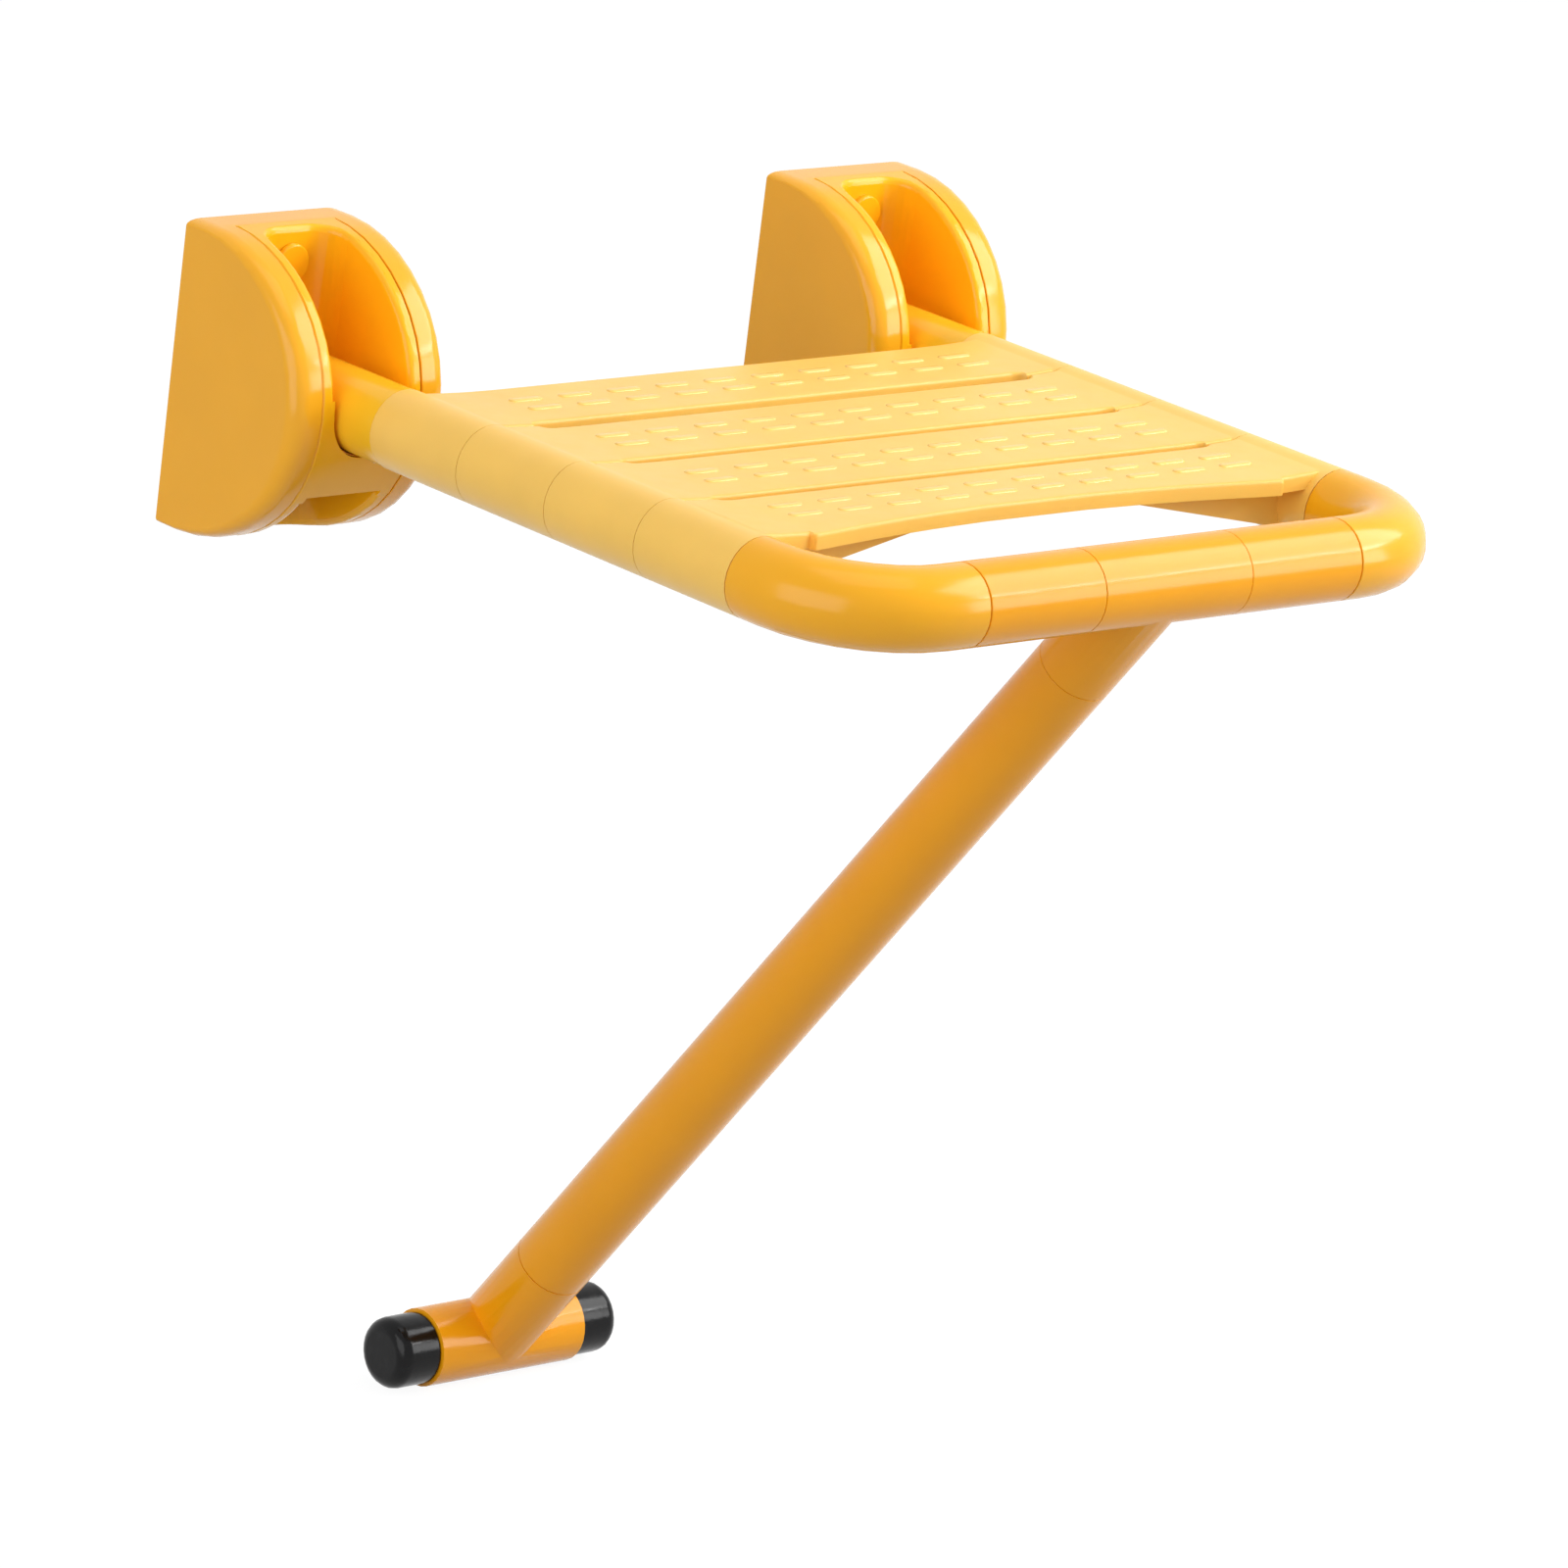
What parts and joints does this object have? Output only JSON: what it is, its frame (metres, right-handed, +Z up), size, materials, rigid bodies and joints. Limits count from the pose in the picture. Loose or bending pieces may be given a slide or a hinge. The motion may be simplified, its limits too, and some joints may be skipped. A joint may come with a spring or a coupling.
{
  "type": "folding shower bench",
  "caption": "Wall-hung folding seat with a slatted top on a bent tube frame, hinged in moulded wall brackets and braced by a swinging leg with a rubber-capped foot bar.",
  "frame": {"origin": "on the wall plane, midway between the brackets, at the height of the hinge pins", "axes": "+Y into the wall, +Z up, +X to the right as seen from the front; the seat points to -Y"},
  "size_m": [0.407, 0.4035, 0.5305],
  "materials": {
    "cover_nylon": "glossy, slightly darker yellow",
    "core_nylon": "glossy, saturated yellow-orange",
    "pad_nylon": "satin",
    "stainless_steel": "brushed",
    "steel_tube": "drawn tube",
    "joint_nylon": "glossy, saturated yellow",
    "slat_nylon": "satin gloss with raised dashes",
    "foot_rubber": "glossy black",
    "sleeve_nylon": "glossy"
  },
  "bodies": {
    "wall_brackets": {"bracket_cover_left": "cover_nylon", "bracket_core_left": "core_nylon", "wall_plate_left": "stainless_steel", "hinge_pin_left": "stainless_steel", "hinge_washer_outer_left": "core_nylon", "hinge_washer_inner_left": "core_nylon", "rest_pad_left": "pad_nylon", "wall_screw_upper_left": "stainless_steel", "wall_screw_lower_left": "stainless_steel", "screw_cap_upper_left": "core_nylon", "screw_cap_lower_left": "core_nylon", "bracket_cover_right": "cover_nylon", "bracket_core_right": "core_nylon", "wall_plate_right": "stainless_steel", "hinge_pin_right": "stainless_steel", "hinge_washer_outer_right": "core_nylon", "hinge_washer_inner_right": "core_nylon", "rest_pad_right": "pad_nylon", "wall_screw_upper_right": "stainless_steel", "wall_screw_lower_right": "stainless_steel", "screw_cap_upper_right": "core_nylon", "screw_cap_lower_right": "core_nylon"},
    "seat": {"frame_tube": "steel_tube", "hinge_arm_left": "joint_nylon", "elbow_left": "joint_nylon", "front_sleeve_left": "sleeve_nylon", "arm_screw_left": "stainless_steel", "hinge_arm_right": "joint_nylon", "elbow_right": "joint_nylon", "front_sleeve_right": "sleeve_nylon", "arm_screw_right": "stainless_steel", "slat_1": "slat_nylon", "slat_2": "slat_nylon", "slat_3": "slat_nylon", "slat_4": "slat_nylon"},
    "leg": {"leg_tee": "sleeve_nylon", "leg_sleeve": "sleeve_nylon", "leg_tube": "steel_tube", "foot_tee": "sleeve_nylon", "foot_tube": "steel_tube", "foot_cap_left": "foot_rubber", "foot_cap_right": "foot_rubber", "leg_screw_upper": "stainless_steel", "leg_screw_lower": "stainless_steel"}
  },
  "joints": [
    {"name": "seat_fold", "type": "hinge", "parent": "wall_brackets", "child": "seat", "pos_m": [0, -0.042, 0], "axis": [-1, 0, 0], "range_deg": [0, 90]},
    {"name": "leg_fold", "type": "hinge", "parent": "seat", "child": "leg", "pos_m": [0, -0.386, 0], "axis": [1, 0, 0], "range_deg": [0, 43.5]}
  ]
}
